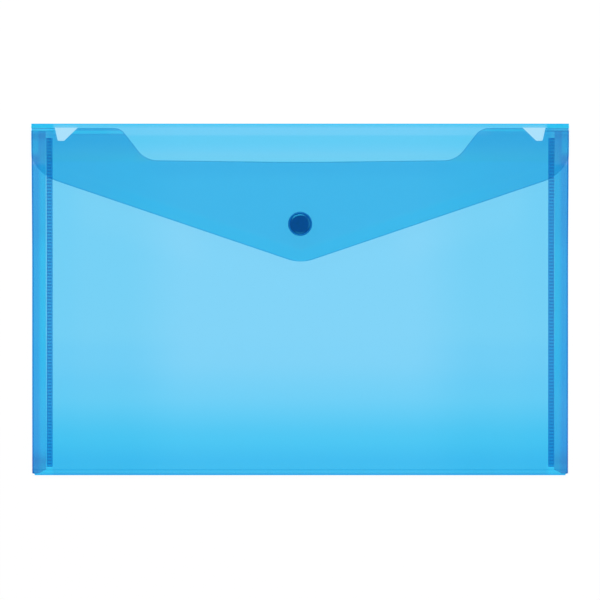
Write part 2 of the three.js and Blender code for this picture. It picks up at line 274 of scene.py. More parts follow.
def math_node(tree, operation, first, second=None):
    """A Math node's output. Each input is a number or another node's output."""
    node = tree.nodes.new("ShaderNodeMath")
    node.operation = operation
    for socket, value in zip(node.inputs, (first, second)):
        if value is None:
            continue
        if isinstance(value, (int, float)):
            socket.default_value = value
        else:
            tree.links.new(value, socket)
    return node.outputs[0]


def between(tree, value, rise_from, rise_to, fall_from, fall_to):
    """1 between the rise and the fall, 0 outside them, with soft ends. None leaves an end out."""
    made = None
    for start, end, low, high in ((rise_from, rise_to, 0, 1), (fall_from, fall_to, 1, 0)):
        if start is None:
            continue
        step = tree.nodes.new("ShaderNodeMapRange")
        step.interpolation_type = "SMOOTHSTEP"
        tree.links.new(value, step.inputs["Value"])
        step.inputs["From Min"].default_value = start
        step.inputs["From Max"].default_value = end
        step.inputs["To Min"].default_value = low
        step.inputs["To Max"].default_value = high
        result = step.outputs["Result"]
        made = result if made is None else math_node(tree, "MULTIPLY", made, result)
    return made


def multiply_colour(tree, colour, wash, share):
    """The colour times the wash, where share is 1."""
    node = tree.nodes.new("ShaderNodeMix")
    node.data_type = "RGBA"
    node.blend_type = "MULTIPLY"
    node.clamp_result = False
    node.clamp_factor = True
    tree.links.new(share, node.inputs["Factor"])
    for socket, value in ((node.inputs[6], colour), (node.inputs[7], wash)):
        if isinstance(value, tuple):
            socket.default_value = (*value, 1)
        else:
            tree.links.new(value, socket)
    return node.outputs[2]


def film_finish(name, tint, washes, shine=(1.0, 1.0, 1.0)):
    """See-through dyed film. A washes entry is a colour that multiplies the tint where all its limits hold;
    the washes paint light and shade into the tint.

    A limit is a word and the four distances in millimetres between which it rises and falls. The words are
    out, the distance from the folder's middle line, right, the same to the right only, up, the distance up
    the folder, rim, which is 3 at the folder's outline and falls to 0 inside it, and hem, the distance from
    the V of the flap's edge."""
    finish = bpy.data.materials.new(name)
    finish.use_nodes = True
    tree = finish.node_tree
    tree.nodes.clear()
    place = tree.nodes.new("ShaderNodeTexCoord")
    ruler = tree.nodes.new("ShaderNodeVectorMath")
    ruler.operation = "SCALE"
    ruler.inputs["Scale"].default_value = 1000
    tree.links.new(place.outputs["Object"], ruler.inputs[0])
    parts = tree.nodes.new("ShaderNodeSeparateXYZ")
    tree.links.new(ruler.outputs[0], parts.inputs[0])
    out = math_node(tree, "ABSOLUTE", parts.outputs["X"])
    from_tip = math_node(tree, "ABSOLUTE", math_node(tree, "SUBTRACT", parts.outputs["X"], SET_RIGHT))
    up = parts.outputs["Y"]
    unbowed = out
    for most, low, high in BOWS:
        spread = math_node(tree, "MULTIPLY", between(tree, up, low, high, None, None), most)
        unbowed = math_node(tree, "SUBTRACT", unbowed, spread)
    past_side = math_node(tree, "MAXIMUM", math_node(tree, "SUBTRACT", unbowed, SIDE - RIM), 0)
    past_bottom = math_node(tree, "MAXIMUM", math_node(tree, "SUBTRACT", BOTTOM + RIM, up), 0)
    squares = math_node(
        tree,
        "ADD",
        math_node(tree, "MULTIPLY", past_side, past_side),
        math_node(tree, "MULTIPLY", past_bottom, past_bottom),
    )
    rim = math_node(tree, "SQRT", squares)
    hem = math_node(
        tree,
        "SUBTRACT",
        math_node(
            tree,
            "SUBTRACT",
            math_node(tree, "MULTIPLY", up, math.cos(FLAP_SLOPE)),
            math_node(tree, "MULTIPLY", from_tip, math.sin(FLAP_SLOPE)),
        ),
        FLAP_EDGE_UP,
    )
    words = {"out": out, "right": parts.outputs["X"], "up": up, "rim": rim, "hem": hem}
    colour = tint
    everywhere = math_node(tree, "ADD", 1.0, 0.0)
    for wash, limits in washes:
        share = everywhere
        for word, *heights in limits:
            share = math_node(tree, "MULTIPLY", share, between(tree, words[word], *heights))
        colour = multiply_colour(tree, colour, wash, share)
    face_tint = tree.nodes.new("ShaderNodeGamma")
    face_tint.inputs["Gamma"].default_value = 0.5
    tree.links.new(colour, face_tint.inputs["Color"])

    ripple = tree.nodes.new("ShaderNodeTexNoise")
    ripple.inputs["Scale"].default_value = 0.02
    ripple.inputs["Detail"].default_value = 2
    tree.links.new(ruler.outputs[0], ripple.inputs["Vector"])
    grain = tree.nodes.new("ShaderNodeTexNoise")
    grain.inputs["Scale"].default_value = 1.6
    grain.inputs["Detail"].default_value = 3
    tree.links.new(ruler.outputs[0], grain.inputs["Vector"])
    fine_relief = math_node(tree, "MULTIPLY", grain.outputs["Fac"], 0.004)
    relief = math_node(tree, "ADD", ripple.outputs["Fac"], fine_relief)
    bump = tree.nodes.new("ShaderNodeBump")
    bump.inputs["Strength"].default_value = 0.5
    bump.inputs["Distance"].default_value = 0.001
    tree.links.new(relief, bump.inputs["Height"])
    smooth = tree.nodes.new("ShaderNodeMapRange")
    smooth.inputs["To Min"].default_value = 0.13
    smooth.inputs["To Max"].default_value = 0.21
    tree.links.new(grain.outputs["Fac"], smooth.inputs["Value"])

    clear = tree.nodes.new("ShaderNodeBsdfTransparent")
    tree.links.new(face_tint.outputs[0], clear.inputs["Color"])
    haze = tree.nodes.new("ShaderNodeBsdfPrincipled")
    haze.inputs["Roughness"].default_value = 0.4
    tree.links.new(colour, haze.inputs["Base Color"])
    tree.links.new(bump.outputs[0], haze.inputs["Normal"])
    body = tree.nodes.new("ShaderNodeMixShader")
    body.inputs["Fac"].default_value = 0.003
    tree.links.new(clear.outputs[0], body.inputs[1])
    tree.links.new(haze.outputs[0], body.inputs[2])
    mirror = tree.nodes.new("ShaderNodeBsdfGlossy")
    mirror.inputs["Color"].default_value = (*shine, 1)
    tree.links.new(smooth.outputs["Result"], mirror.inputs["Roughness"])
    tree.links.new(bump.outputs[0], mirror.inputs["Normal"])
    # So thin a film mirrors as much at the face where light leaves it as at the face where it enters.
    fresnel = tree.nodes.new("ShaderNodeFresnel")
    inside = tree.nodes.new("ShaderNodeNewGeometry").outputs["Backfacing"]
    way = math_node(tree, "SUBTRACT", 1.0, math_node(tree, "MULTIPLY", inside, 2.0))
    tree.links.new(math_node(tree, "POWER", FILM_MIRRORS, way), fresnel.inputs["IOR"])
    tree.links.new(bump.outputs[0], fresnel.inputs["Normal"])
    surface = tree.nodes.new("ShaderNodeMixShader")
    tree.links.new(fresnel.outputs[0], surface.inputs["Fac"])
    tree.links.new(body.outputs[0], surface.inputs[1])
    tree.links.new(mirror.outputs[0], surface.inputs[2])
    finished = tree.nodes.new("ShaderNodeOutputMaterial")
    tree.links.new(surface.outputs[0], finished.inputs["Surface"])
    return finish


# Painted shade and light: the film is painted darker towards the sides, the bottom and the top of the folder,
# and darkest in a line along its folds and outline, with a few painted lighter patches, such as a cyan glow
# at the bottom corners.
BODY_LIGHT_AND_SHADE = [
    ((0.908, 0.984, 0.991), [("out", 66, 112, None, None)]),
    ((0.973, 0.995, 1.0), [("out", 130, 147, None, None)]),
    ((1.03, 1.005, 1.0), [("hem", -28, -12, 2, 4), ("out", 50, 75, 125, 150)]),
    ((0.985, 0.997, 1.0), [("up", -64, -48, -34, -20)]),
    ((0.965, 0.99, 1.0), [("up", -64, -48, -34, -20), ("out", 60, 110, None, None)]),
    ((0.83, 0.975, 0.996), [("up", None, None, -70, -34)]),
    ((0.70, 0.955, 0.986), [("up", None, None, -91, -59)]),
    ((0.875, 0.955, 0.988), [("up", None, None, -102, -86)]),
    ((0.82, 0.945, 0.968), [("up", -105.8, -105.4, -104.9, -104.5)]),
    ((1.0, 0.965, 0.97), [("up", None, None, -106.9, -106.3)]),
    ((1.0, 1.06, 1.03), [("up", None, None, -103, -100), ("out", 151, 154, None, None)]),
    ((0.62, 0.86, 0.957), [("rim", 2.0, 2.4, None, None)]),
]

# The back sheet is also painted darker across its top, from 84 mm up: painted shade.
back_film = film_finish(
    "back_film", BACK_BLUE, [*BODY_LIGHT_AND_SHADE, ((0.494, 0.919, 0.972), [("up", 84, 98, None, None)])]
)
back_sheet = draw_outline(
    "back_sheet",
    [
        (-SIDE + SIDE_ROLL, BOTTOM + BOTTOM_ROLL, CORNER_ROUND - 0.6),
        (SIDE - SIDE_ROLL, BOTTOM + BOTTOM_ROLL, CORNER_ROUND - 0.6),
        *side_points(SIDE - SIDE_ROLL, BOTTOM, TOP),
        (SIDE - SIDE_ROLL, TOP, 0),
        (-SIDE + SIDE_ROLL, TOP, 0),
        *reversed(side_points(-SIDE + SIDE_ROLL, BOTTOM, TOP)),
    ],
)
thicken()
bpy.ops.object.mode_set(mode="OBJECT")
for corners in (BACK_NOTCH, mirrored(BACK_NOTCH)):
    cutter = draw_outline("notch_cutter", corners, -1)
    thicken(3)
    punch(back_sheet, cutter)
to_metres(back_sheet)
back_sheet.data.materials.append(back_film)
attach(back_sheet, "back_body")
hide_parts("back_panel")


# The front sheet: the same film, folded up over the back sheet. Its top edge has a tab at each side, with a
# thumb recess between them, whose floor dips a little in the middle, and a relief notch beside each. The
# lower half of the press stud is riveted through it.
FRONT_HEIGHT = 1.5
TAB_INSET = 54.1
RECESS_INSET = 69.4
RECESS_DROP = 22.5
FLOOR_DROP = 23.75
CUT_EDGE = 0.65
SNAP_UP = TOP - 61.9
PIN_HOLE = 1.65
FRONT_BLUE = (0.375, 0.764, 0.967)
left_top = [
    (-SIDE + SIDE_ROLL, TABS_AT, 0),
    *NOTCH,
    (-SIDE + TAB_INSET + SET_RIGHT, TABS_AT, 7.4),
    (-SIDE + RECESS_INSET + SET_RIGHT, TOP - RECESS_DROP, 13.5),
]
right_top = [
    (SIDE - RECESS_INSET + SET_RIGHT, TOP - RECESS_DROP, 13.5),
    (SIDE - TAB_INSET + SET_RIGHT, TABS_AT, 8.9),
    *mirrored(left_top[:5]),
]


def pin_cutter(middle_up, middle_height):
    """A round cutter for the hole that a press stud's pin goes through."""
    bpy.ops.mesh.primitive_cylinder_add(
        vertices=32, radius=PIN_HOLE, depth=2, location=(0, middle_up, middle_height)
    )
    return bpy.context.object


# The front sheet is painted darker towards its top as painted shade, with painted highlights as lighter cyan
# bands just below the tabs' top edges and a painted dark line under them.
front_film = film_finish(
    "front_film",
    FRONT_BLUE,
    [
        *BODY_LIGHT_AND_SHADE,
        ((0.91, 0.918, 1.0), [("up", 84, 98, None, None)]),
        ((1.0, 1.0, 0.889), [("up", 84, 85.4, None, None)]),
        (
            (1.12, 1.24, 1.10),
            [("up", 101.6, 102.0, 103.4, 103.8), ("out", None, None, 149, 153), ("right", None, None, 0, 60)],
        ),
        (
            (1.05, 1.18, 1.06),
            [("up", 103.2, 103.5, 104.4, 104.6), ("out", None, None, 149, 153), ("right", 0, 60, None, None)],
        ),
        ((1.3, 1.25, 1.1), [("up", 103.5, 103.8, 104.4, 104.8), ("out", 149, 153, None, None)]),
        ((0.9, 0.94, 0.97), [("up", 100.4, 100.8, 101.2, 101.6)]),
    ],
)
# The narrow band along the front sheet's cut top edge is painted darker, as a painted shade line along the
# edge.
cut_edge_shade_film = film_finish("front_cut_edge_shade", (0.28, 0.56, 0.76), BODY_LIGHT_AND_SHADE)
front_sheet = draw_outline(
    "front_sheet",
    [
        (-SIDE + SIDE_ROLL, BOTTOM + BOTTOM_ROLL, CORNER_ROUND - 0.6),
        (SIDE - SIDE_ROLL, BOTTOM + BOTTOM_ROLL, CORNER_ROUND - 0.6),
        *side_points(SIDE - SIDE_ROLL, BOTTOM, TABS_AT),
        *reversed([*left_top, (SET_RIGHT, TOP - FLOOR_DROP, 1100), *right_top]),
        *reversed(side_points(-SIDE + SIDE_ROLL, BOTTOM, TABS_AT)),
    ],
    FRONT_HEIGHT,
)
thicken()
pick("FACE", lambda middle: middle.z > FRONT_HEIGHT + FILM - 0.01)
bpy.ops.mesh.inset(thickness=CUT_EDGE, use_even_offset=True)
bpy.ops.object.mode_set(mode="OBJECT")
front_sheet.data.materials.append(front_film)
front_sheet.data.materials.append(cut_edge_shade_film)
for face in front_sheet.data.polygons:
    out = abs(face.center.x)
    on_rim = face.center.z > FRONT_HEIGHT + FILM - 0.01 and face.area < 200
    at_top = face.center.y > 0 and out < SIDE - 2 and not -NOTCH[-1][0] < out < -NOTCH[0][0]
    face.material_index = int(on_rim and at_top)
punch(front_sheet, pin_cutter(SNAP_UP, FRONT_HEIGHT))
to_metres(front_sheet)
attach(front_sheet, "front_body")
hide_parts("front_panel")


def roll_edge(piece, test, axis_at, axis, turn, steps=10):
    """Turns the edges that pass the test round an axis, as film rolls round a fold."""
    pick("EDGE", test)
    bpy.ops.mesh.spin(steps=steps, dupli=False, angle=turn, center=axis_at, axis=axis)
    bpy.ops.mesh.select_all(action="SELECT")
    bpy.ops.mesh.remove_doubles(threshold=0.001)
    bpy.ops.mesh.select_all(action="SELECT")
    bpy.ops.mesh.normals_make_consistent(inside=False)
    bpy.ops.object.mode_set(mode="OBJECT")


def give_thickness(piece, thickness=FILM):
    """Makes a film's middle surface a closed sheet."""
    wall = piece.modifiers.new("wall", "SOLIDIFY")
    wall.thickness = thickness
    wall.offset = 0
    wall.use_even_offset = True
    bpy.ops.object.modifier_apply(modifier=wall.name)


bottom_middle = BOTTOM + BOTTOM_ROLL
bottom_roll = draw_outline(
    "bottom_roll",
    [
        (-SIDE + CORNER_ROUND, bottom_middle, 0),
        (SIDE - CORNER_ROUND, bottom_middle, 0),
        (SIDE - CORNER_ROUND, bottom_middle + 1, 0),
        (-SIDE + CORNER_ROUND, bottom_middle + 1, 0),
    ],
    FILM / 2,
)
roll_edge(
    bottom_roll,
    lambda middle: abs(middle.y - bottom_middle) < 0.01,
    (0, bottom_middle, BOTTOM_ROLL),
    (1, 0, 0),
    math.pi,
)
bpy.ops.object.mode_set(mode="EDIT")
pick("FACE", lambda middle: middle.y > bottom_middle + 0.1)
bpy.ops.mesh.delete(type="FACE")
bpy.ops.object.mode_set(mode="OBJECT")
give_thickness(bottom_roll)
to_metres(bottom_roll)
# The roll carries the sheets' painted light and shade, with its own painted dark line along the outline.
bottom_roll.data.materials.append(
    film_finish(
        "bottom_fold_film",
        FRONT_BLUE,
        [*BODY_LIGHT_AND_SHADE[:-1], ((0.60, 0.95, 1.0), [("rim", 2.0, 2.4, None, None)])],
        shine=(0.1, 0.8, 1.0),
    )
)
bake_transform(bottom_roll)
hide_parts("bottom_fold")


# The tucked-in sides: at each side the film rolls round the fold and runs inwards as two strips, one folded
# back from the back sheet and one from the front sheet. Their lower ends are cut on a slant. The weld joins
# the two, so that they open as a V when the front sheet is lifted.
WELD_OUT = SIDE - 12.3
WELD_IN = WELD_OUT + 3.7
STRIP_TOP = TOP - 4.6
STRIP_LOW = BOTTOM + 5.3
STRIP_END = BOTTOM + 1.1
SLANT = math.tan(math.radians(27))
STRIP_BLUE = (0.522, 0.812, 0.942)

# The strips are painted lighter and darker in places, as painted light and shade: a lighter cyan on their
# inner part and at their tops, changed tints towards the bottom to go with the sheets' painted bottom shade,
# and a painted dark line along the outline.
strip_film = film_finish(
    "tucked_film",
    STRIP_BLUE,
    [
        ((0.96, 1.12, 1.03), [("out", None, None, 158.8, 162.0)]),
        ((1.25, 1.0, 1.0), [("up", None, None, -70, -34)]),
        ((1.30, 1.0, 1.0), [("up", None, None, -91, -59)]),
        ((1.10, 1.0, 1.0), [("up", None, None, -102, -86)]),
        ((1.0, 0.925, 0.925), [("up", None, None, -103, -90)]),
        ((1.0, 0.955, 0.98), [("up", 25, 45, None, None)]),
        ((1.65, 1.03, 1.015), [("up", 81.5, 84, None, None)]),
        ((0.95, 1.20, 1.06), [("up", 86, 92, None, None), ("out", 160, 162, None, None)]),
        ((1.0, 0.97, 0.985), [("right", 100, 110, None, None)]),
        ((1.0, 0.955, 0.985), [("up", None, None, -100, -94), ("right", None, None, -110, -100)]),
        ((1.0, 0.95, 0.97), [("up", 97, 99.5, 101, 103.5), ("out", 154, 158, None, None)]),
        ((1.0, 0.965, 0.98), [("up", 97, 99.5, 101, 103.5), ("right", None, None, -158, -154)]),
        ((0.62, 0.86, 0.94), [("rim", 2.0, 2.4, None, None)]),
    ],
    shine=(0.3, 0.8, 1.0),
)


def tucked_strip(name, side, roll_height, tuck):
    """One strip and its roll. side is -1 at the left and 1 at the right; tuck is 1 for the strip on the back
    sheet, which lies above its roll's middle, and -1 for the strip under the front sheet."""
    outer = SIDE - SIDE_ROLL
    corners = [
        (side * (WELD_OUT + (STRIP_LOW - STRIP_END) / SLANT), STRIP_END, 0),
        (side * outer, STRIP_END, 0),
        *side_points(side * outer, BOTTOM, STRIP_TOP),
        (side * outer, STRIP_TOP, 0),
        (side * WELD_IN, STRIP_TOP, 0),
        (side * WELD_IN, STRIP_LOW - SLANT * (WELD_IN - WELD_OUT), 0),
    ]
    if side < 0:
        corners.reverse()
    middle_height = roll_height + tuck * (SIDE_ROLL - FILM / 2)
    strip = draw_outline(name, corners, middle_height)
    roll_edge(
        strip,
        lambda middle: abs(middle.x - side * outer) < 0.01,
        (side * outer, 0, roll_height),
        (0, 1, 0),
        -side * tuck * math.pi,
        8,
    )
    give_thickness(strip)
    to_metres(strip)
    strip.data.materials.append(strip_film)
    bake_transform(strip)
    return strip


for side_name, side in (("left", -1), ("right", 1)):
    rear_strip = tucked_strip(f"{side_name}_rear_strip", side, SIDE_ROLL, 1)
    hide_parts(f"{side_name}_rear_gusset")
    front_strip = tucked_strip(f"{side_name}_front_strip", side, FRONT_HEIGHT + FILM - SIDE_ROLL, -1)
    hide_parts(f"{side_name}_front_gusset")


# The weld: a hot toothed bar fuses the two strips of a side along their inner edge. It leaves a ladder of
# raised bars with grooves between them, and a narrow plain rail along the inner side.
WELD_TOP = TOP - 8.85
WELD_LOW = BOTTOM + 5.2
WELD_PITCH = 2.0
BAR = 1.05
RAIL = 0.7
WELD_UNDER = 0.55
GROOVE_HEIGHT = 0.45
BAR_HEIGHT = 0.6

weld_washes = [
    ((1.29, 1.14, 1.05), [("up", 86, 92, None, None)]),
    ((1.0, 0.96, 0.975), [("right", 100, 110, None, None)]),
]
bar_film = film_finish("weld_bar", (0.146, 0.383, 0.655), weld_washes)
groove_film = film_finish("weld_groove", (0.197, 0.576, 0.80), weld_washes)
rail_film = film_finish("weld_rail", (0.20, 0.54, 0.79), weld_washes)


def ladder_weld(name, side):
    """A strip scored across at every bar, whose bars and rail are then raised."""
    inner = side * WELD_OUT
    outer = side * WELD_IN
    corners = [(inner, WELD_LOW, 0), (outer, WELD_LOW, 0), (outer, WELD_TOP, 0), (inner, WELD_TOP, 0)]
    if side < 0:
        corners.reverse()
    weld = draw_outline(name, corners, WELD_UNDER)
    bpy.ops.mesh.select_all(action="SELECT")
    bpy.ops.mesh.bisect(plane_co=(side * (WELD_OUT + RAIL), 0, 0), plane_no=(1, 0, 0))
    bars = int((WELD_TOP - WELD_LOW) / WELD_PITCH)
    for bar in range(bars):
        for scored in (WELD_TOP - bar * WELD_PITCH - BAR, WELD_TOP - (bar + 1) * WELD_PITCH):
            bpy.ops.mesh.select_all(action="SELECT")
            bpy.ops.mesh.bisect(plane_co=(0, scored, 0), plane_no=(0, 1, 0))
    thicken(GROOVE_HEIGHT)

    def on_rail(middle):
        return abs(middle.x) < WELD_OUT + RAIL

    def in_groove(middle):
        return not on_rail(middle) and (WELD_TOP - middle.y) % WELD_PITCH > BAR

    pick("FACE", lambda middle: middle.z > WELD_UNDER + GROOVE_HEIGHT - 0.01 and not in_groove(middle))
    bpy.ops.mesh.extrude_region_move(
        TRANSFORM_OT_translate={"value": (0, 0, BAR_HEIGHT - GROOVE_HEIGHT)}
    )
    bpy.ops.object.mode_set(mode="OBJECT")
    for finish in (bar_film, groove_film, rail_film):
        weld.data.materials.append(finish)
    for face in weld.data.polygons:
        face.material_index = 2 if on_rail(face.center) else int(in_groove(face.center))
    weld.location = (SET_RIGHT if side < 0 else 0, 0, 0)
    to_metres(weld)
    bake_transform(weld)
    return weld


left_weld = ladder_weld("left_weld_ladder", -1)
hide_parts("left_side_weld")
right_weld = ladder_weld("right_weld_ladder", 1)
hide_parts("right_side_weld")


# The top fold: the back sheet turns over in two creases with a narrow slanted band between them, so that the
# flap can lie over the front sheet. Each crease is a round bend of the same film.
CREASE_UP = 105.7
CREASE_HEIGHT = 2.4
CREASE_ROUND = 0.095
BAND_BLUE = (0.414, 0.772, 0.972)

# The band is painted darker at its ends and along its top crease, as painted shade, and painted lighter over
# the relief notches.
band_film = film_finish(
    "band_film",
    BAND_BLUE,
    [
        ((0.27, 0.92, 0.98), [("out", 151.5, 152.5, None, None)]),
        ((0.5, 0.94, 1.03), [("up", 107.0, 107.3, None, None)]),
        ((1.4, 1.03, 1.0), [("out", 136, 139, 150.0, 151.5), ("up", None, None, 106.6, 107.2)]),
    ],
)
rise = CREASE_HEIGHT - FILM / 2
run = TOP - CREASE_UP
band_length = math.hypot(rise, run)
band = draw_outline(
    "top_band",
    [(-SIDE, 0, 0), (SIDE, 0, 0), (SIDE, band_length, 0), (-SIDE, band_length, 0)],
)
bpy.ops.object.mode_set(mode="OBJECT")
give_thickness(band)
bpy.ops.object.mode_set(mode="EDIT")
pick("EDGE", lambda middle: abs(middle.x) < 1 and abs(middle.z) > 0.01)
bpy.ops.mesh.bevel(affect="EDGES", offset=CREASE_ROUND, segments=4)
bpy.ops.object.mode_set(mode="OBJECT")
band.rotation_euler = (math.pi - math.atan2(rise, run), 0, 0)
band.location = (0, TOP, FILM / 2)
to_metres(band)
band.data.materials.append(band_film)
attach(band, "fold_body")
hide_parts("top_fold")


# The flap: the same film again, cut to a shallow V with round corners. A faint pressed line along its edge is
# shown by a painted highlight line, on cuts that are not raised. It lies on the front sheet, and swells a
# little where the press stud lifts it. It is drawn flat, below its crease.
AT_STUD = 5.4
FLAP_RISE = math.atan2(AT_STUD - CREASE_HEIGHT, CREASE_UP - SNAP_UP)
TIP_UP = 23
CORNER_LEAN = math.radians(19)
FLAP_ROUND = 24.5
FLAP_BLUE = (0.24, 0.729, 0.887)
RESTS_AT = 2.05
HELD = 9
SWELL = 62
BEND = 22

# Painted light and shade on the flap: lighter where it lies over the thumb recess and near its crease, a
# painted shadow just below the recess floor, lighter and darker bands towards its sides and top corners, a
# painted highlight along the pressed line, a painted dark line along the V edge, and lighter and darker marks
# beside the notches.
flap_light_and_shade = [
    ((1.80, 1.055, 1.015), [("up", 84, 98, None, None)]),
    ((1.0, 1.0, 1.074), [("up", 84, 85.4, None, None)]),
    ((1.35, 1.03, 1.02), [("up", 99.8, 101.6, None, None), ("out", None, None, 112, 122)]),
    ((0.26, 0.93, 0.96), [("up", 104.9, 105.2, None, None), ("out", 151.5, 152.5, None, None)]),
    ((1.13, 1.0, 0.98), [("up", 84.8, 85.2, 88, 93), ("out", None, None, 98, 103)]),
    ((0.94, 0.965, 0.985), [("up", 72, 80, 83.8, 84.6), ("out", None, None, 80, 110)]),
    ((1.0, 0.97, 0.985), [("out", 100, 135, None, None), ("up", None, None, 84, 95)]),
    ((1.45, 1.04, 1.0), [("out", 153, 157, None, None)]),
    ((0.88, 1.02, 1.01), [("hem", None, None, 7.4, 8.2), ("out", None, None, 85, 135)]),
    ((1.10, 1.05, 1.01), [("hem", 7.3, 7.6, 7.9, 8.2)]),
    ((0.72, 0.86, 0.93), [("hem", None, None, 0.4, 0.8)]),
    ((1.03, 1.10, 1.12), [("up", 103.9, 104.1, 104.6, 104.9), ("right", None, None, -153, -149)]),
    ((0.67, 0.95, 0.97), [("up", 102.7, 102.9, 103.7, 103.9), ("right", None, None, -153, -149)]),
    ((0.78, 0.84, 0.95), [("up", 103.9, 104.1, 104.5, 104.7), ("right", 149, 153, None, None)]),
    ((0.75, 0.74, 0.85), [("up", 102.7, 102.9, 103.9, 104.1), ("right", 149, 153, None, None)]),
]
flap_film = film_finish("flap_film", FLAP_BLUE, flap_light_and_shade)

down = 1 / math.cos(FLAP_RISE)
tip = -(CREASE_UP - TIP_UP) * down
tip_middle = tip + FLAP_ROUND
edge_at_middle = tip_middle - FLAP_ROUND / math.cos(FLAP_SLOPE)
corner_out = SIDE - FLAP_ROUND * math.cos(CORNER_LEAN)
corner_up = edge_at_middle + corner_out * math.tan(FLAP_SLOPE) + FLAP_ROUND / math.cos(FLAP_SLOPE)
tilt = SET_RIGHT * math.tan(FLAP_SLOPE)


def arc(middle_x, middle_y, start, end, steps):
    """Points on one of the flap's round corners, as sharp corners of its outline."""
    turns = [start + (end - start) * step / steps for step in range(steps + 1)]
    return [
        (middle_x + FLAP_ROUND * math.cos(turn), middle_y + FLAP_ROUND * math.sin(turn), 0)
        for turn in turns
    ]


flap = draw_outline(
    "flap_sheet",
    [
        (-SIDE, 0, 0),
        *arc(-corner_out, corner_up + tilt, math.pi + CORNER_LEAN, 1.5 * math.pi - FLAP_SLOPE, 16),
        *arc(SET_RIGHT, tip_middle, 1.5 * math.pi - FLAP_SLOPE, 1.5 * math.pi + FLAP_SLOPE, 14),
        *arc(corner_out, corner_up - tilt, 1.5 * math.pi + FLAP_SLOPE, 2 * math.pi - CORNER_LEAN, 16),
        (SIDE, 0, 0),
    ],
    -FILM / 2,
)
for step in range(-16, 16):
    bpy.ops.mesh.select_all(action="SELECT")
    bpy.ops.mesh.bisect(plane_co=(step * 10 + 5, 0, 0), plane_no=(1, 0, 0))
for step in range(1, 17):
    bpy.ops.mesh.select_all(action="SELECT")
    bpy.ops.mesh.bisect(plane_co=(0, -step * 5, 0), plane_no=(0, 1, 0))
for turn in (-1, 1):
    across = (turn * math.sin(FLAP_SLOPE), math.cos(FLAP_SLOPE), 0)
    for inset in (7.4, 7.8, 8.2):
        bpy.ops.mesh.select_all(action="SELECT")
        on_line = tip_middle - FLAP_ROUND / math.cos(FLAP_SLOPE) + inset / math.cos(FLAP_SLOPE)
        bpy.ops.mesh.bisect(plane_co=(SET_RIGHT, on_line, 0), plane_no=across)
thicken()
bpy.ops.object.mode_set(mode="OBJECT")
punch(flap, pin_cutter((SNAP_UP - CREASE_UP) * down, 0))
flap.rotation_euler = (-FLAP_RISE, 0, 0)
flap.location = (0, CREASE_UP, CREASE_HEIGHT)
bpy.ops.object.transform_apply(location=True, rotation=True, scale=True)
for vert in flap.data.vertices:
    x, y, _ = vert.co
    lifted = CREASE_HEIGHT + (CREASE_UP - y) * math.tan(FLAP_RISE)
    past_stud = max(0, math.hypot(x * 0.8, y - SNAP_UP) - HELD)
    swell = math.exp(-((past_stud / SWELL) ** 2))
    vert.co.z -= (lifted - RESTS_AT) * (1 - swell) * eased(CREASE_UP - y, 0, BEND)
to_metres(flap)
flap.data.materials.append(flap_film)
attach(flap, "flap_body")
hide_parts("flap")


# The press stud: four turned pieces of opaque blue plastic. The cap and the socket are riveted through the
# flap, the stud and the back plate through the front sheet, and the stud's head snaps into the socket.
# The ring of the cap's raised rim that is painted paler, as a painted highlight.
SHEEN_RING = (0.0062, 0.0065, 0.0071, 0.0074)


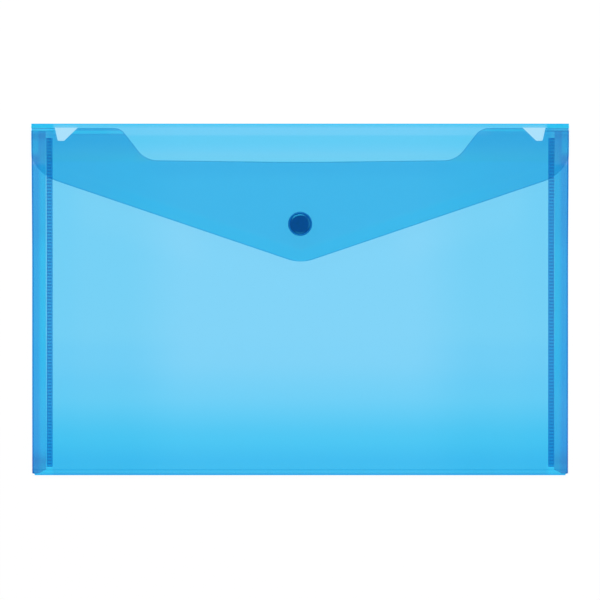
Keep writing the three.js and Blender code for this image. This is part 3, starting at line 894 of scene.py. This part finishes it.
def stud_finish(name, colour, sheen_colour, roughness, specular, mirrors=1.5):
    """Moulded plastic: a satin skin with a faint mottle, a fine grain that the mould leaves, and a raised rim
    painted paler, a painted highlight for the light the rim catches. mirrors is how strongly it bends light,
    which sets how bright its highlights are."""
    finish = bpy.data.materials.new(name)
    finish.use_nodes = True
    tree = finish.node_tree
    skin = tree.nodes["Principled BSDF"]
    place = tree.nodes.new("ShaderNodeTexCoord")
    mottle = tree.nodes.new("ShaderNodeTexNoise")
    mottle.inputs["Scale"].default_value = 420
    mottle.inputs["Detail"].default_value = 4
    tree.links.new(place.outputs["Object"], mottle.inputs["Vector"])
    shades = tree.nodes.new("ShaderNodeValToRGB")
    shades.color_ramp.elements[0].color = (*[0.86 * part for part in colour], 1)
    shades.color_ramp.elements[1].color = (*[1.14 * part for part in colour], 1)
    shades.color_ramp.elements[0].position = 0.3
    shades.color_ramp.elements[1].position = 0.7
    tree.links.new(mottle.outputs["Fac"], shades.inputs["Fac"])
    centred = tree.nodes.new("ShaderNodeMapping")
    centred.inputs["Location"].default_value = (0, -SNAP_UP / 1000, 0)
    centred.inputs["Scale"].default_value = (1, 1, 0)
    tree.links.new(place.outputs["Object"], centred.inputs["Vector"])
    from_axis = tree.nodes.new("ShaderNodeVectorMath")
    from_axis.operation = "LENGTH"
    tree.links.new(centred.outputs["Vector"], from_axis.inputs[0])
    rim_sheen = tree.nodes.new("ShaderNodeMix")
    rim_sheen.data_type = "RGBA"
    tree.links.new(between(tree, from_axis.outputs["Value"], *SHEEN_RING), rim_sheen.inputs["Factor"])
    tree.links.new(shades.outputs["Color"], rim_sheen.inputs[6])
    rim_sheen.inputs[7].default_value = (*sheen_colour, 1)
    tree.links.new(rim_sheen.outputs[2], skin.inputs["Base Color"])
    skin.inputs["Specular Tint"].default_value = (0.03, 0.7, 1.0, 1)
    skin.inputs["Specular IOR Level"].default_value = specular
    skin.inputs["IOR"].default_value = mirrors
    grain = tree.nodes.new("ShaderNodeTexNoise")
    grain.inputs["Scale"].default_value = 5200
    tree.links.new(place.outputs["Object"], grain.inputs["Vector"])
    bump = tree.nodes.new("ShaderNodeBump")
    bump.inputs["Strength"].default_value = 0.25
    bump.inputs["Distance"].default_value = 0.00004
    tree.links.new(grain.outputs["Fac"], bump.inputs["Height"])
    tree.links.new(bump.outputs["Normal"], skin.inputs["Normal"])
    gloss = tree.nodes.new("ShaderNodeMapRange")
    gloss.inputs["To Min"].default_value = roughness - 0.05
    gloss.inputs["To Max"].default_value = roughness + 0.07
    tree.links.new(mottle.outputs["Fac"], gloss.inputs["Value"])
    tree.links.new(gloss.outputs["Result"], skin.inputs["Roughness"])
    return finish


cap_finish = stud_finish("cap_blue", (0.0005, 0.02, 0.225), (0.0005, 0.135, 0.53), 0.22, 1.0, 1.58)
stud_blue = stud_finish("stud_blue", (0.004, 0.087, 0.30), (0.005, 0.107, 0.35), 0.34, 0.5)


def turned(name, profile, closed, steps=72):
    """A round piece from its half profile of (radius, height, rounding). An open profile starts and ends on
    the middle line."""
    piece = draw_outline(name, profile)
    if closed:
        pick("FACE", lambda middle: True)
        bpy.ops.mesh.delete(type="ONLY_FACE")
    else:
        pick("EDGE", lambda middle: abs(middle.x) < 0.001)
        bpy.ops.mesh.delete(type="EDGE")
        pick("FACE", lambda middle: True)
        bpy.ops.mesh.delete(type="ONLY_FACE")
    bpy.ops.object.mode_set(mode="OBJECT")
    piece.rotation_euler = (math.pi / 2, 0, 0)
    bpy.ops.object.transform_apply(location=True, rotation=True, scale=True)
    bpy.ops.object.mode_set(mode="EDIT")
    bpy.ops.mesh.select_all(action="SELECT")
    bpy.ops.mesh.spin(steps=steps, dupli=False, angle=math.tau, center=(0, 0, 0), axis=(0, 0, 1))
    bpy.ops.mesh.select_all(action="SELECT")
    bpy.ops.mesh.remove_doubles(threshold=0.001)
    bpy.ops.mesh.select_all(action="SELECT")
    bpy.ops.mesh.normals_make_consistent(inside=False)
    bpy.ops.object.mode_set(mode="OBJECT")
    bpy.ops.object.shade_smooth_by_angle(angle=math.radians(38))
    return piece


def seat(piece, finish, body, node):
    """Ends a piece of the press stud."""
    to_metres(piece)
    piece.data.materials.append(finish)
    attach(piece, body)
    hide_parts(node)


SNAP_SEAT = 0.15
cap = turned(
    "press_cap",
    [
        (0, -1.05, 0),
        (1.4, -1.05, 0.2),
        (1.4, 0, 0),
        (7.1, 0, 0.1),
        (7.4, 0.35, 0.2),
        (7.4, 0.9, 0.3),
        (7.0, 1.25, 0.3),
        (6.7, 1.22, 0.12),
        (6.5, 0.84, 0.1),
        (6.35, 0.84, 0.06),
        (5.8, 1.16, 0.5),
        (5.2, 1.4, 0.5),
        (4.4, 1.5, 0.6),
        (2.2, 1.44, 0.6),
        (0, 1.42, 0),
    ],
    False,
)
cap.rotation_euler = (-FLAP_RISE, 0, 0)
stud_at_flap = CREASE_HEIGHT + (CREASE_UP - SNAP_UP) * math.tan(FLAP_RISE)
lean = FILM / 2 + SNAP_SEAT
cap.location = (0, SNAP_UP + lean * math.sin(FLAP_RISE), stud_at_flap + lean * math.cos(FLAP_RISE))
seat(cap, cap_finish, "flap_body", "snap_cap")

socket = turned(
    "press_socket",
    [
        (1.65, -0.55, 0),
        (3.2, -0.55, 0.1),
        (3.2, -1.7, 0.1),
        (3.5, -2.0, 0.12),
        (5.3, -2.0, 0.2),
        (5.75, -1.6, 0.2),
        (5.75, -0.3, 0.2),
        (5.5, 0, 0.1),
        (1.65, 0, 0),
    ],
    True,
)
socket.rotation_euler = (-FLAP_RISE, 0, 0)
socket.location = (
    0,
    SNAP_UP - lean * math.sin(FLAP_RISE),
    stud_at_flap - lean * math.cos(FLAP_RISE),
)
seat(socket, stud_blue, "flap_body", "snap_socket")

stud = turned(
    "press_stud",
    [
        (1.65, 0, 0),
        (5.4, 0, 0.1),
        (5.5, 0.55, 0.2),
        (5.1, 0.8, 0.2),
        (2.4, 0.8, 0.15),
        (2.4, 1.5, 0.1),
        (2.8, 1.75, 0.15),
        (2.8, 2.0, 0.15),
        (2.45, 2.25, 0.2),
        (1.65, 2.25, 0),
    ],
    True,
)
stud.location = (0, SNAP_UP, FRONT_HEIGHT + FILM + SNAP_SEAT)
seat(stud, stud_blue, "front_body", "snap_stud")

plate = turned(
    "press_plate",
    [
        (0, -0.8, 0),
        (5.7, -0.8, 0.2),
        (6.0, -0.5, 0.2),
        (6.0, -0.25, 0.15),
        (5.7, 0, 0.1),
        (1.4, 0, 0),
        (1.4, 2.5, 0.2),
        (0, 2.5, 0),
    ],
    False,
)
plate.location = (0, SNAP_UP, FRONT_HEIGHT - SNAP_SEAT)
seat(plate, stud_blue, "front_body", "snap_back_plate")

# The key lamp lights the table and the press stud only. The film would mirror it as a white glare when it is
# seen from the side.
key_lit = bpy.data.collections.new("lit_by_the_key_lamp")
for piece in (table, cap, socket, stud, plate):
    key_lit.objects.link(piece)
bpy.data.objects["key_lamp"].light_linking.receiver_collection = key_lit
